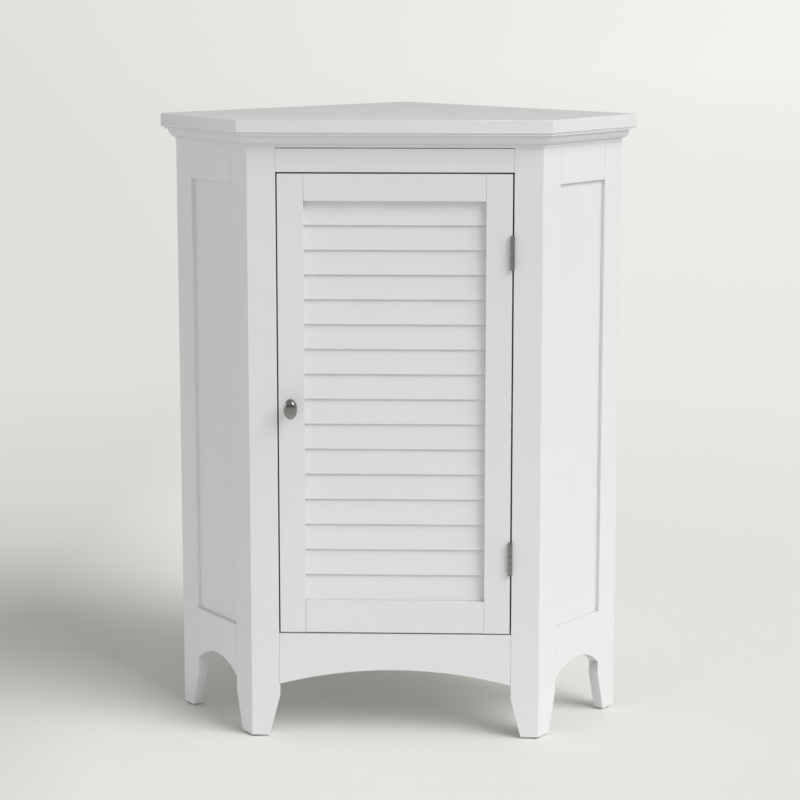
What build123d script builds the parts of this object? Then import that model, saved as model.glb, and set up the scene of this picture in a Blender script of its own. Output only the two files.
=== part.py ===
from build123d import *
import os
from math import cos, radians, sin, sqrt

os.makedirs("parts", exist_ok=True)

# A corner floor cabinet for a bathroom, in millimetres.
# Its plan has five sides: a front with a louvered door, two splayed sides, and two backs
# that stand square to each other against the walls of the corner.
# X runs to the right, Y to the back and Z up. The origin is on the floor, in the middle of
# the whole cabinet's plan.

# Plan and heights
overall_height = 813.0
front_width = 376.5
side_width = 176.5
side_splay = 52.5
board = 15.0
front_post_face = 36.5
side_post_face = 38.0
rear_post_face = 38.0
corner_post_face = 40.0

# Top and crown moulding
top_thickness = 18.0
top_overhang = 21.0
top_back_overhang = 6.0
top_upper_round = 1.0
top_lower_round = 2.5
crown_height = 18.3
crown_lip_projection = 19.2
crown_lip_height = 2.2
crown_round_projection = 13.0
crown_foot_projection = 1.2
crown_foot_height = 4.6

# Rails, arches and feet
front_rail_height = 49.5
apron_top = 140.9
side_top_rail_height = 67.0
side_rail_top = 143.0
arch_spring = 72.0
arch_crown = 92.0
taper_start = 54.0
front_foot_width = 23.0
side_foot_width = 24.5
glide_height = 2.0
glide_radius = 6.0
glide_nail_radius = 1.5
glide_nail_length = 10.0

# Panels
panel_recess = 5.0
panel_thickness = 6.0
groove_depth = 6.0
groove_float = 1.0
back_panel = 6.0
back_rebate = 8.0
bottom_thickness = 15.0
shelf_thickness = 15.0
shelf_rise = 295.1
shelf_setback = 6.0
panel_gap = 0.5
shelf_gap = 1.5

# Door
door_thickness = 19.0
door_gap = 2.0
stile_width = 33.3
door_top_rail_height = 34.7
door_bottom_rail_height = 42.2
slat_pitch = 32.7
slat_spread = 0.04
slat_width = 36.0
slat_thickness = 2.4
slat_tilt = 6.0
slat_recess = 7.0
slat_round = 0.8
slat_tenon = 5.0
slat_fit = 0.15

# Knob
knob_height = 27.0
knob_width = 17.4
knob_head = 9.0
knob_front_round = 4.5
knob_back_round = 2.5
knob_projection = 24.0
knob_neck_radius = 4.2
knob_foot_radius = 6.5
knob_foot_height = 1.6
knob_screw_radius = 2.0
knob_screw_grip = 12.0
knob_screw_head_radius = 4.0
knob_screw_head_height = 2.4
screw_clearance = 0.1

# Hinges
hinge_length = 43.0
hinge_inset = 100.5
hinge_barrel_radius = 3.1
hinge_stand_off = 0.3
hinge_leaf = 0.8
hinge_leaf_width = 14.0
hinge_pin_radius = 1.3
hinge_pin_clearance = 0.06
hinge_knuckles = 5
knuckle_gap = 0.3
pin_head_radius = 2.4
pin_head_height = 1.2

# Small fixings
screw_radius = 1.3
screw_head_radius = 2.6
screw_length = 13.0
hinge_screw_spacing = 24.0
dowel_radius = 3.0
dowel_length = 30.0
dowel_clearance = 0.05
dowel_edge = 16.0
door_dowel_edge = 9.5
nail_radius = 0.9
nail_head_radius = 2.2
nail_head_height = 1.0
nail_length = 14.0
nail_rows = 5
nail_edge = 40.0
nail_clearance = 0.05
shelf_pin_radius = 2.5
shelf_pin_seat = 8.0
shelf_pin_reach = 9.0
shelf_pin_clearance = 0.05
shelf_pin_edge = 18.0
corner_pin_edge = 9.0
shelf_hole_pitch = 32.0
shelf_hole_steps = 2
top_screw_radius = 2.0
top_screw_head_radius = 4.0
top_screw_head_height = 2.5
top_screw_bite = 12.0

# Blocks and cleats
cleat_height = 20.0
cleat_depth = 15.0
cleat_end_gap = 20.0
side_block_length = 60.0
block_depth = 20.0
block_height = 25.0
front_block_width = 44.0
front_block_inset = 56.0
catch_width = 40.0
catch_body_width = 24.0
catch_depth = 14.0
catch_height = 13.0
catch_ear = 3.0
magnet_width = 18.0
magnet_depth = 8.0
magnet_height = 7.0
strike_width = 30.0
strike_height = 12.0
strike_thickness = 1.2
strike_drop = 1.0
catch_gap = 0.3

# Values that follow from the ones above
side_run = cos(radians(side_splay))
side_rise = sin(radians(side_splay))
half_front = front_width / 2
half_opening = half_front - front_post_face
top_underside = overall_height - top_thickness
crown_bottom = top_underside - crown_height
wall_reach = half_front + side_width * (side_run + side_rise)
top_reach = wall_reach + top_back_overhang * sqrt(2)
front_reach = max(top_overhang, knob_projection)
front_y = (front_reach - top_reach) / 2
rear_post_start = side_width - rear_post_face
side_opening = rear_post_start - side_post_face
opening_top = top_underside - front_rail_height
side_opening_top = top_underside - side_top_rail_height
door_top = opening_top - door_gap
door_bottom = apron_top + door_gap
half_door = half_opening - door_gap
half_louver = half_door - stile_width
louver_top = door_top - door_top_rail_height
louver_bottom = door_bottom + door_bottom_rail_height
louver_height = louver_top - louver_bottom
slat_count = round(louver_height / slat_pitch)
bottom_underside = apron_top - bottom_thickness
shelf_underside = apron_top + shelf_rise

# Outward-facing planes of the front, of the right side and of the right back.
# Their own Y axis is up; their own X axis runs right, backwards and towards the back corner.
floor = Plane((0, front_y, 0))
front = Plane((0, front_y, 0), x_dir=(1, 0, 0), z_dir=(0, -1, 0))
side = Plane((half_front, front_y, 0), x_dir=(side_run, side_rise, 0), z_dir=(side_rise, -side_run, 0))
back = Plane((0, front_y + wall_reach, 0), x_dir=(-1, 1, 0), z_dir=(1, 1, 0))


def on_side(along, depth):
    """Plan point on the right side: along the face from the front arris, and in from the face."""
    x = half_front + along * side_run - depth * side_rise
    return x, along * side_rise + depth * side_run


def on_wall(along, depth):
    """Plan point on the right back: along the wall from the back corner, and in from the wall."""
    return (along - depth) / sqrt(2), wall_reach - (along + depth) / sqrt(2)


def side_at_front(side_depth, front_depth):
    """Plan point where a line inside the side face meets a line inside the front face."""
    return on_side((front_depth - side_depth * side_run) / side_rise, side_depth)


def side_at_wall(side_depth, reach):
    """Plan point where a line inside the side face meets the back line x + y = reach."""
    shift = side_depth * (side_run - side_rise)
    return on_side((reach - half_front - shift) / (side_run + side_rise), side_depth)


def interior(gap, front_depth):
    """Right half of a board that fits inside the frame, notched round the back corner post."""
    back_line = wall_reach - (back_panel + gap) * sqrt(2)
    return [
        side_at_front(board + gap, front_depth),
        side_at_wall(board + gap, back_line),
        on_wall(corner_post_face + gap, back_panel + gap),
        on_wall(corner_post_face + gap, board + gap),
        (0, wall_reach - (board + gap) * sqrt(2)),
    ]


def plan(points):
    """Closed outline through plan points."""
    with BuildLine() as outline:
        Polyline(*points, close=True)
    make_face(outline.edges())


def both_sides(points):
    """Closed outline through the right-hand points and their mirror images."""
    plan(points + [(-x, y) for x, y in reversed(points) if x > 0])


def arched(left, right, top):
    """Rail outline with an arch cut in its lower edge."""
    with BuildLine() as outline:
        Polyline((left, arch_spring), (left, top), (right, top), (right, arch_spring))
        ThreePointArc((right, arch_spring), ((left + right) / 2, arch_crown), (left, arch_spring))
    make_face(outline.edges())


def drill(plane, points, radius, depth):
    """Round holes into the part being built, down from the plane."""
    with BuildSketch(plane) as rounds:
        with Locations(*points):
            Circle(radius)
    extrude(rounds.sketch, amount=-depth, mode=Mode.SUBTRACT)


def pegs(plane, points, radius, height):
    """Round solids added to the part being built, up from the plane."""
    with BuildSketch(plane) as rounds:
        with Locations(*points):
            Circle(radius)
    extrude(rounds.sketch, amount=height)


def screw_heads(plane, points, room, mode):
    """Tapered heads, or with some room round them their seats, level with the plane."""
    height = screw_head_radius - screw_radius
    with Locations(plane):
        with Locations(*[(x, y, -height / 2) for x, y in points]):
            Cone(screw_radius + room, screw_head_radius + room, height, mode=mode)


def wood_screws(plane, points):
    """Countersunk screws, their heads level with the plane and their points below it."""
    pegs(plane.offset(-screw_length), points, screw_radius, screw_length)
    screw_heads(plane, points, 0, Mode.ADD)


def screw_seats(plane, points):
    """Countersinks and pilot holes for those screws."""
    drill(plane, points, screw_radius + screw_clearance, screw_length + screw_clearance)
    screw_heads(plane, points, screw_clearance, Mode.SUBTRACT)


def save(piece, name):
    """Labels a finished piece and writes it under its name."""
    piece.label = name
    export_step(piece, f"parts/{name}.step")


def save_pair(piece, name):
    """Writes a right-hand piece and its mirror image."""
    save(piece, f"{name}_right")
    with BuildPart() as other_hand:
        mirror(piece, about=Plane.YZ)
    save(other_hand.part, f"{name}_left")


# Dowels: two across each joint between a rail and a post
def side_joint(along):
    """Plane across the side frame's thickness, facing along the side to the back."""
    x, y = on_side(along, board / 2)
    return Plane((x, front_y + y, 0), x_dir=(-side_rise, side_run, 0), z_dir=(side_run, side_rise, 0))


front_joint = Plane((half_opening, front_y + board / 2, 0), x_dir=(0, 1, 0), z_dir=(1, 0, 0))
door_joint = Plane((half_louver, front_y + door_thickness / 2, 0), x_dir=(0, 1, 0), z_dir=(1, 0, 0))
front_side_joint = side_joint(side_post_face)
rear_side_joint = side_joint(rear_post_start)
front_rail_dowels = [(0, opening_top + dowel_edge), (0, top_underside - dowel_edge)]
apron_dowels = [(0, arch_spring + dowel_edge), (0, apron_top - dowel_edge)]
side_top_dowels = [(0, side_opening_top + dowel_edge), (0, top_underside - dowel_edge)]
side_bottom_dowels = [(0, arch_spring + dowel_edge), (0, side_rail_top - dowel_edge)]
door_top_dowels = [(0, louver_top + door_dowel_edge), (0, door_top - door_dowel_edge)]
door_bottom_dowels = [(0, door_bottom + door_dowel_edge), (0, louver_bottom - door_dowel_edge)]
front_dowels = front_rail_dowels + apron_dowels
side_dowels = side_top_dowels + side_bottom_dowels
door_dowel_places = door_top_dowels + door_bottom_dowels
dowel_hole = dowel_radius + dowel_clearance
half_dowel = dowel_length / 2

with BuildPart() as frame_dowels:
    pegs(front_joint.offset(-half_dowel), front_dowels, dowel_radius, dowel_length)
    pegs(front_side_joint.offset(-half_dowel), side_dowels, dowel_radius, dowel_length)
    pegs(rear_side_joint.offset(-half_dowel), side_dowels, dowel_radius, dowel_length)
    mirror(about=Plane.YZ)
save(frame_dowels.part, "frame_dowels")

with BuildPart() as door_dowels:
    pegs(door_joint.offset(-half_dowel), door_dowel_places, dowel_radius, dowel_length)
    mirror(about=Plane.YZ)
save(door_dowels.part, "door_dowels")

# Glides: round plastic feet with a nail, one under each foot
foot_places = [
    side_at_front(board / 2, board / 2),
    on_side(side_width - side_foot_width / 2, board / 2),
    (0, wall_reach - board / sqrt(2)),
]
foot_nail = glide_nail_length + screw_clearance
foot_drill = floor.offset(glide_height + foot_nail)

with BuildPart() as foot_glides:
    pegs(floor, foot_places, glide_radius, glide_height)
    pegs(floor.offset(glide_height), foot_places, glide_nail_radius, glide_nail_length)
    mirror(about=Plane.YZ)
save(foot_glides.part, "foot_glides")

# Shelf pins: rows of holes in every post but one pin in each row.
# Each of these planes lies on a post's inner face and looks into the cabinet.
def inner_side(along):
    """Plane on the side frame's inner face, its own Y axis up."""
    x, y = on_side(along, board)
    return Plane((x, front_y + y, 0), x_dir=(-side_run, -side_rise, 0), z_dir=(-side_rise, side_run, 0))


corner_pin_x, corner_pin_y = on_wall(corner_post_face - corner_pin_edge, board)
front_pin_face = inner_side(side_post_face - shelf_pin_edge)
rear_pin_face = inner_side(rear_post_start + shelf_pin_edge)
corner_pin_face = Plane((corner_pin_x, front_y + corner_pin_y, 0), x_dir=(1, -1, 0), z_dir=(-1, -1, 0))
shelf_pin_level = shelf_underside - shelf_pin_radius
shelf_holes = [
    (0, shelf_pin_level + step * shelf_hole_pitch) for step in range(-shelf_hole_steps, shelf_hole_steps + 1)
]
shelf_hole = shelf_pin_radius + shelf_pin_clearance

with BuildPart() as shelf_pins:
    for face in (front_pin_face, rear_pin_face, corner_pin_face):
        seat = face.offset(-shelf_pin_seat)
        pegs(seat, [(0, shelf_pin_level)], shelf_pin_radius, shelf_pin_seat + shelf_pin_reach)
    mirror(about=Plane.YZ)
save(shelf_pins.part, "shelf_pins")

# Nails: they hold the back panels in the rebates of the posts, their heads level with the panels
rear_rebate_end = sqrt(2) * side_at_wall(board, wall_reach)[0] + back_rebate
corner_rebate_start = corner_post_face - back_rebate
nail_span = top_underside - bottom_underside - 2 * nail_edge
nail_places = [
    (-along, bottom_underside + nail_edge + row * nail_span / (nail_rows - 1))
    for along in (corner_rebate_start + back_rebate / 2, rear_rebate_end - back_rebate / 2)
    for row in range(nail_rows)
]


def nail_holes():
    """Holes for the nails on the right back, with a seat for each head."""
    drill(back, nail_places, nail_radius + nail_clearance, nail_length + nail_clearance)
    drill(back, nail_places, nail_head_radius + nail_clearance, nail_head_height)


with BuildPart() as back_panel_nails:
    pegs(back.offset(-nail_length), nail_places, nail_radius, nail_length)
    pegs(back.offset(-nail_head_height), nail_places, nail_head_radius, nail_head_height)
    mirror(about=Plane.YZ)
save(back_panel_nails.part, "back_panel_nails")

# Hinges: two butt hinges on the right, leaves in the gap beside the door, barrels in front of it
upper_hinge = door_top - hinge_inset
lower_hinge = door_bottom + hinge_inset
hinge_places = (lower_hinge, upper_hinge)
hinge_out = hinge_barrel_radius + hinge_stand_off
knuckle_pitch = (hinge_length + knuckle_gap) / hinge_knuckles
knuckle_length = knuckle_pitch - knuckle_gap
hinge_screw_depth = hinge_leaf_width / 2 + hinge_stand_off
hinge_screws = [
    (hinge_screw_depth, z + step * hinge_screw_spacing / 2) for z in hinge_places for step in (-1, 1)
]
post_leaf_face = Plane((half_opening - hinge_leaf, front_y, 0), x_dir=(0, -1, 0), z_dir=(-1, 0, 0))
door_leaf_face = Plane((half_door + hinge_leaf, front_y, 0), x_dir=(0, 1, 0), z_dir=(1, 0, 0))
post_hinge_screws = [(-depth, z) for depth, z in hinge_screws]


def hinge_leaves(leaf_x, knuckles):
    """Both hinges' leaves on one side: a plate each, and the knuckles that it is rolled into."""
    for z in hinge_places:
        with BuildSketch(floor.offset(z - hinge_length / 2)) as plates:
            with Locations((leaf_x, 0)):
                Rectangle(hinge_leaf, hinge_leaf_width, align=Align.MIN)
        extrude(plates.sketch, amount=hinge_length)
        for knuckle in knuckles:
            bottom = floor.offset(z - hinge_length / 2 + knuckle * knuckle_pitch)
            with BuildSketch(bottom) as rolls:
                with Locations((leaf_x, -hinge_out)):
                    Rectangle(hinge_leaf, hinge_out, align=Align.MIN)
                with Locations((half_door, -hinge_out)):
                    Circle(hinge_barrel_radius)
            extrude(rolls.sketch, amount=knuckle_length)
        bore = floor.offset(z + hinge_length / 2)
        drill(bore, [(half_door, -hinge_out)], hinge_pin_radius + hinge_pin_clearance, hinge_length)


with BuildPart() as hinge_frame_leaves:
    hinge_leaves(half_opening - hinge_leaf, range(0, hinge_knuckles, 2))
    screw_seats(post_leaf_face, post_hinge_screws)
save(hinge_frame_leaves.part, "hinge_frame_leaves")

with BuildPart() as hinge_door_leaves:
    hinge_leaves(half_door, range(1, hinge_knuckles, 2))
    screw_seats(door_leaf_face, hinge_screws)
save(hinge_door_leaves.part, "hinge_door_leaves")

with BuildPart() as hinge_pins:
    for z in hinge_places:
        pegs(floor.offset(z - hinge_length / 2), [(half_door, -hinge_out)], hinge_pin_radius, hinge_length)
        pegs(floor.offset(z + hinge_length / 2), [(half_door, -hinge_out)], pin_head_radius, pin_head_height)
save(hinge_pins.part, "hinge_pins")

# Top: one board with its front and side edges eased, more below than above.
# Screws come up into it through four blocks behind the rails.
top_corner = side_at_front(-top_overhang, -top_overhang)
top_tip = side_at_wall(-top_overhang, top_reach)
front_block_x = half_opening - front_block_inset
side_block_middle = (side_post_face + rear_post_start) / 2
block_underside = top_underside - block_height
right_top_screws = [
    (front_block_x, board + block_depth / 2),
    on_side(side_block_middle, board + block_depth / 2),
]
top_screw_places = right_top_screws + [(-x, y) for x, y in right_top_screws]
top_screw_hole = top_screw_radius + screw_clearance

with BuildPart() as top_panel:
    with BuildSketch(floor.offset(top_underside)):
        both_sides([top_corner, top_tip, (0, top_reach)])
    extrude(amount=top_thickness)
    fillet(top_panel.edges().group_by(Axis.Z)[-1].sort_by(Axis.Y)[:3], top_upper_round)
    fillet(top_panel.edges().group_by(Axis.Z)[0].sort_by(Axis.Y)[:3], top_lower_round)
    top_bite = top_screw_bite + screw_clearance
    drill(floor.offset(top_underside + top_bite), top_screw_places, top_screw_hole, top_bite)
save(top_panel.part, "top_panel")

with BuildPart() as top_screws:
    shank = block_height + top_screw_bite
    head = floor.offset(block_underside - top_screw_head_height)
    pegs(floor.offset(block_underside), top_screw_places, top_screw_radius, shank)
    pegs(head, top_screw_places, top_screw_head_radius, top_screw_head_height)
save(top_screws.part, "top_screws")

with BuildPart() as top_blocks:
    with BuildSketch(floor.offset(block_underside)):
        with Locations((front_block_x, board)):
            Rectangle(front_block_width, block_depth, align=(Align.CENTER, Align.MIN))
    extrude(amount=block_height)
    with BuildSketch(side.offset(-board)):
        with Locations((side_block_middle, block_underside)):
            Rectangle(side_block_length, block_height, align=(Align.CENTER, Align.MIN))
    extrude(amount=-block_depth)
    drill(floor.offset(top_underside), right_top_screws, top_screw_hole, block_height)
    other_side = mirror(about=Plane.YZ, mode=Mode.PRIVATE)
    add(other_side.solids().sort_by(Axis.Y)[1:])
save(top_blocks.part, "top_blocks")

# Catch: a longer block on the knob's side carries a magnetic catch behind the door's top rail
catch_x = -front_block_x
catch_front = door_thickness + strike_thickness + catch_gap
catch_bottom = opening_top - catch_height
ear_screws = [
    (catch_x + sign * (catch_width + catch_body_width) / 4, catch_front + catch_depth / 2) for sign in (-1, 1)
]
ear_face = Plane((0, front_y, opening_top - catch_ear), x_dir=(1, 0, 0), z_dir=(0, 0, -1))
ear_screw_places = [(x, -y) for x, y in ear_screws]

with BuildPart() as catch_block:
    with BuildSketch(floor.offset(opening_top)):
        with Locations((catch_x, board)):
            Rectangle(front_block_width, block_depth, align=(Align.CENTER, Align.MIN))
    extrude(amount=top_underside - opening_top)
    catch_screw_way = [(catch_x, board + block_depth / 2)]
    drill(floor.offset(top_underside), catch_screw_way, top_screw_hole, block_height)
    way = block_underside - opening_top
    drill(floor.offset(block_underside), catch_screw_way, top_screw_head_radius + screw_clearance, way)
    screw_seats(ear_face, ear_screw_places)
save(catch_block.part, "catch_block")

with BuildPart() as catch_housing:
    with BuildSketch(floor.offset(catch_bottom)):
        with Locations((catch_x, catch_front)):
            Rectangle(catch_body_width, catch_depth, align=(Align.CENTER, Align.MIN))
    extrude(amount=catch_height)
    with BuildSketch(floor.offset(opening_top)):
        with Locations((catch_x, catch_front)):
            Rectangle(catch_width, catch_depth, align=(Align.CENTER, Align.MIN))
    extrude(amount=-catch_ear)
    with BuildSketch(front.offset(-catch_front)):
        with Locations((catch_x, catch_bottom + catch_height / 2)):
            Rectangle(magnet_width, magnet_height)
    extrude(amount=-magnet_depth, mode=Mode.SUBTRACT)
    screw_seats(ear_face, ear_screw_places)
save(catch_housing.part, "catch_housing")

with BuildPart() as catch_magnet:
    with BuildSketch(front.offset(-catch_front)):
        with Locations((catch_x, catch_bottom + catch_height / 2)):
            Rectangle(magnet_width, magnet_height)
    extrude(amount=-magnet_depth)
save(catch_magnet.part, "catch_magnet")

with BuildPart() as carcass_screws:
    wood_screws(post_leaf_face, post_hinge_screws)
    wood_screws(ear_face, ear_screw_places)
save(carcass_screws.part, "carcass_screws")


# Crown: a quarter-round moulding under the top, in three lengths mitred at the front corners
def crown_profile():
    """The moulding's section: its own X out from the cabinet, its own Y up."""
    round_bottom = crown_bottom + crown_foot_height
    round_top = top_underside - crown_lip_height
    with BuildLine() as outline:
        Polyline(
            (crown_foot_projection, round_bottom),
            (crown_foot_projection, crown_bottom),
            (0, crown_bottom),
            (0, top_underside),
            (crown_lip_projection, top_underside),
            (crown_lip_projection, round_top),
            (crown_round_projection, round_top),
        )
        EllipticalCenterArc(
            (crown_foot_projection, round_top),
            crown_round_projection - crown_foot_projection,
            round_top - round_bottom,
            start_angle=270,
            arc_size=90,
        )
    make_face(outline.edges())


arris = (half_front, front_y, 0)
left_arris = (-half_front, front_y, 0)
right_mitre = Plane(arris, x_dir=(0, 0, 1), z_dir=(-1 - side_run, -side_rise, 0))
left_mitre = Plane(left_arris, x_dir=(0, 0, 1), z_dir=(1 + side_run, -side_rise, 0))
wall_plane = Plane(back.origin, x_dir=(0, 0, 1), z_dir=(-1, -1, 0))

with BuildPart() as crown_front:
    with BuildSketch(Plane(floor.origin, x_dir=(0, -1, 0), z_dir=(-1, 0, 0))):
        crown_profile()
    extrude(amount=front_width, both=True)
    split(bisect_by=right_mitre)
    split(bisect_by=left_mitre)
save(crown_front.part, "crown_front")

with BuildPart() as crown_side:
    with BuildSketch(Plane(arris, x_dir=side.z_dir, z_dir=-side.x_dir)):
        crown_profile()
    extrude(amount=2 * side_width, both=True)
    split(bisect_by=right_mitre, keep=Keep.BOTTOM)
    split(bisect_by=wall_plane)
save_pair(crown_side.part, "crown_side")

# Front posts: each is two leaves glued up in a V that follows the front arris, and each leaf
# tapers to a foot below the arches
with BuildPart() as front_post:
    with BuildSketch(floor.offset(glide_height)):
        plan(
            [
                (half_opening, 0),
                (half_front, 0),
                on_side(side_post_face, 0),
                on_side(side_post_face, board),
                side_at_front(board, board),
                (half_opening, board),
            ]
        )
    extrude(amount=top_underside - glide_height)
    with BuildSketch(front):
        foot_edge = half_front - front_foot_width
        plan([(half_opening, taper_start), (half_opening, 0), (foot_edge, 0), (foot_edge, glide_height)])
    extrude(amount=-board, mode=Mode.SUBTRACT)
    with BuildSketch(side):
        plan(
            [
                (side_post_face, taper_start),
                (side_post_face, 0),
                (side_foot_width, 0),
                (side_foot_width, glide_height),
            ]
        )
    extrude(amount=-board, mode=Mode.SUBTRACT)
    with BuildSketch(side.offset(-panel_recess)):
        with Locations((side_post_face, (side_opening_top + side_rail_top) / 2)):
            Rectangle(2 * groove_depth, side_opening_top - side_rail_top + 2 * groove_depth)
    extrude(amount=-panel_thickness, mode=Mode.SUBTRACT)
    drill(front_joint.offset(half_dowel), front_dowels, dowel_hole, half_dowel)
    drill(front_side_joint, side_dowels, dowel_hole, half_dowel)
    drill(front_pin_face, shelf_holes, shelf_hole, shelf_pin_seat)
    drill(foot_drill, foot_places[:1], glide_nail_radius + screw_clearance, foot_nail)

with BuildPart() as front_post_right:
    add(front_post.part)
    screw_seats(post_leaf_face, post_hinge_screws)
save(front_post_right.part, "front_post_right")

with BuildPart() as front_post_left:
    mirror(front_post.part, about=Plane.YZ)
save(front_post_left.part, "front_post_left")

# Rear posts: flat stiles at the back of the sides, bevelled to the wall and rebated for the
# back panels
with BuildPart() as rear_post:
    with BuildSketch(floor.offset(glide_height)):
        plan(
            [
                on_side(rear_post_start, 0),
                on_side(side_width, 0),
                on_wall(rear_rebate_end, 0),
                on_wall(rear_rebate_end, back_panel),
                side_at_wall(board, wall_reach - back_panel * sqrt(2)),
                on_side(rear_post_start, board),
            ]
        )
    extrude(amount=top_underside - glide_height)
    with BuildSketch(side):
        foot_edge = side_width - side_foot_width
        plan(
            [
                (rear_post_start, taper_start),
                (rear_post_start, 0),
                (foot_edge, 0),
                (foot_edge, glide_height),
            ]
        )
    extrude(amount=-board, mode=Mode.SUBTRACT)
    with BuildSketch(side.offset(-panel_recess)):
        with Locations((rear_post_start, (side_opening_top + side_rail_top) / 2)):
            Rectangle(2 * groove_depth, side_opening_top - side_rail_top + 2 * groove_depth)
    extrude(amount=-panel_thickness, mode=Mode.SUBTRACT)
    drill(rear_side_joint.offset(half_dowel), side_dowels, dowel_hole, half_dowel)
    drill(rear_pin_face, shelf_holes, shelf_hole, shelf_pin_seat)
    drill(foot_drill, foot_places[1:2], glide_nail_radius + screw_clearance, foot_nail)
    nail_holes()
save_pair(rear_post.part, "rear_post")

# Back corner post: a right-angled V against the corner of the room, rebated for both back panels
with BuildPart() as back_corner_post:
    with BuildSketch(floor.offset(glide_height)):
        plan(
            [
                on_wall(0, 0),
                on_wall(corner_rebate_start, 0),
                on_wall(corner_rebate_start, back_panel),
                on_wall(corner_post_face, back_panel),
                on_wall(corner_post_face, board),
                on_wall(board, board),
            ]
        )
    extrude(amount=top_underside - glide_height)
    with BuildSketch(back):
        plan(
            [
                (-corner_post_face, taper_start),
                (-corner_post_face, 0),
                (-side_foot_width, 0),
                (-side_foot_width, glide_height),
            ]
        )
    extrude(amount=-board, mode=Mode.SUBTRACT)
    drill(corner_pin_face, shelf_holes, shelf_hole, shelf_pin_seat)
    nail_holes()
    mirror(about=Plane.YZ)
    drill(foot_drill, foot_places[2:], glide_nail_radius + screw_clearance, foot_nail)
save(back_corner_post.part, "back_corner_post")

# Rails between the posts; the lower ones are arched
with BuildPart() as front_top_rail:
    with BuildSketch(front):
        with Locations((0, opening_top)):
            Rectangle(2 * half_opening, top_underside - opening_top, align=(Align.CENTER, Align.MIN))
    extrude(amount=-board)
    drill(front_joint, front_rail_dowels, dowel_hole, half_dowel)
    mirror(about=Plane.YZ, mode=Mode.INTERSECT)
save(front_top_rail.part, "front_top_rail")

with BuildPart() as front_apron:
    with BuildSketch(front):
        arched(-half_opening, half_opening, apron_top)
    extrude(amount=-board)
    drill(front_joint, apron_dowels, dowel_hole, half_dowel)
    mirror(about=Plane.YZ, mode=Mode.INTERSECT)
save(front_apron.part, "front_apron")

with BuildPart() as side_top_rail:
    with BuildSketch(side):
        with Locations((side_post_face, side_opening_top)):
            Rectangle(side_opening, top_underside - side_opening_top, align=Align.MIN)
    extrude(amount=-board)
    with BuildSketch(side.offset(-panel_recess)):
        with Locations((side_post_face, side_opening_top)):
            Rectangle(side_opening, groove_depth, align=Align.MIN)
    extrude(amount=-panel_thickness, mode=Mode.SUBTRACT)
    drill(front_side_joint.offset(half_dowel), side_top_dowels, dowel_hole, half_dowel)
    drill(rear_side_joint, side_top_dowels, dowel_hole, half_dowel)
save_pair(side_top_rail.part, "side_top_rail")

with BuildPart() as side_bottom_rail:
    with BuildSketch(side):
        arched(side_post_face, rear_post_start, side_rail_top)
    extrude(amount=-board)
    with BuildSketch(side.offset(-panel_recess)):
        with Locations((side_post_face, side_rail_top)):
            Rectangle(side_opening, groove_depth, align=(Align.MIN, Align.MAX))
    extrude(amount=-panel_thickness, mode=Mode.SUBTRACT)
    drill(front_side_joint.offset(half_dowel), side_bottom_dowels, dowel_hole, half_dowel)
    drill(rear_side_joint, side_bottom_dowels, dowel_hole, half_dowel)
save_pair(side_bottom_rail.part, "side_bottom_rail")

# Panels: the side panels float in grooves, the back panels lie in rebates
panel_edge = groove_depth - groove_float

with BuildPart() as side_panel:
    with BuildSketch(side.offset(-panel_recess)):
        with Locations((side_block_middle, (side_opening_top + side_rail_top) / 2)):
            Rectangle(side_opening + 2 * panel_edge, side_opening_top - side_rail_top + 2 * panel_edge)
    extrude(amount=-panel_thickness)
save_pair(side_panel.part, "side_panel")

with BuildPart() as back_panel_board:
    with BuildSketch(floor.offset(bottom_underside)):
        plan(
            [
                on_wall(corner_rebate_start + panel_gap, 0),
                on_wall(rear_rebate_end - panel_gap, 0),
                on_wall(rear_rebate_end - panel_gap, back_panel),
                on_wall(corner_rebate_start + panel_gap, back_panel),
            ]
        )
    extrude(amount=top_underside - bottom_underside)
    nail_holes()
save_pair(back_panel_board.part, "back_panel")

# Bottom and shelf: boards cut to the inside of the frame
with BuildPart() as bottom_panel:
    with BuildSketch(floor.offset(bottom_underside)):
        both_sides(interior(panel_gap, board + panel_gap))
    extrude(amount=bottom_thickness)
save(bottom_panel.part, "bottom_panel")

with BuildPart() as shelf:
    with BuildSketch(floor.offset(shelf_underside)):
        both_sides(interior(shelf_gap, door_thickness + shelf_setback))
    extrude(amount=shelf_thickness)
save(shelf.part, "shelf")

# Cleats: battens glued to the rails and back panels, which carry the bottom
cleat_bottom = bottom_underside - cleat_height

with BuildPart() as bottom_cleats:
    with BuildSketch(floor.offset(cleat_bottom)):
        plan(
            [
                on_side(side_post_face + cleat_end_gap, board),
                on_side(rear_post_start - cleat_end_gap, board),
                on_side(rear_post_start - cleat_end_gap, board + cleat_depth),
                on_side(side_post_face + cleat_end_gap, board + cleat_depth),
            ]
        )
        plan(
            [
                on_wall(corner_post_face + cleat_end_gap, back_panel),
                on_wall(rear_rebate_end - back_rebate - cleat_end_gap, back_panel),
                on_wall(rear_rebate_end - back_rebate - cleat_end_gap, back_panel + cleat_depth),
                on_wall(corner_post_face + cleat_end_gap, back_panel + cleat_depth),
            ]
        )
    extrude(amount=cleat_height)
    mirror(about=Plane.YZ)
    with BuildSketch(floor.offset(cleat_bottom)):
        with Locations((0, board)):
            Rectangle(2 * (half_opening - cleat_end_gap), cleat_depth, align=(Align.CENTER, Align.MIN))
    extrude(amount=cleat_height)
save(bottom_cleats.part, "bottom_cleats")

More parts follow.
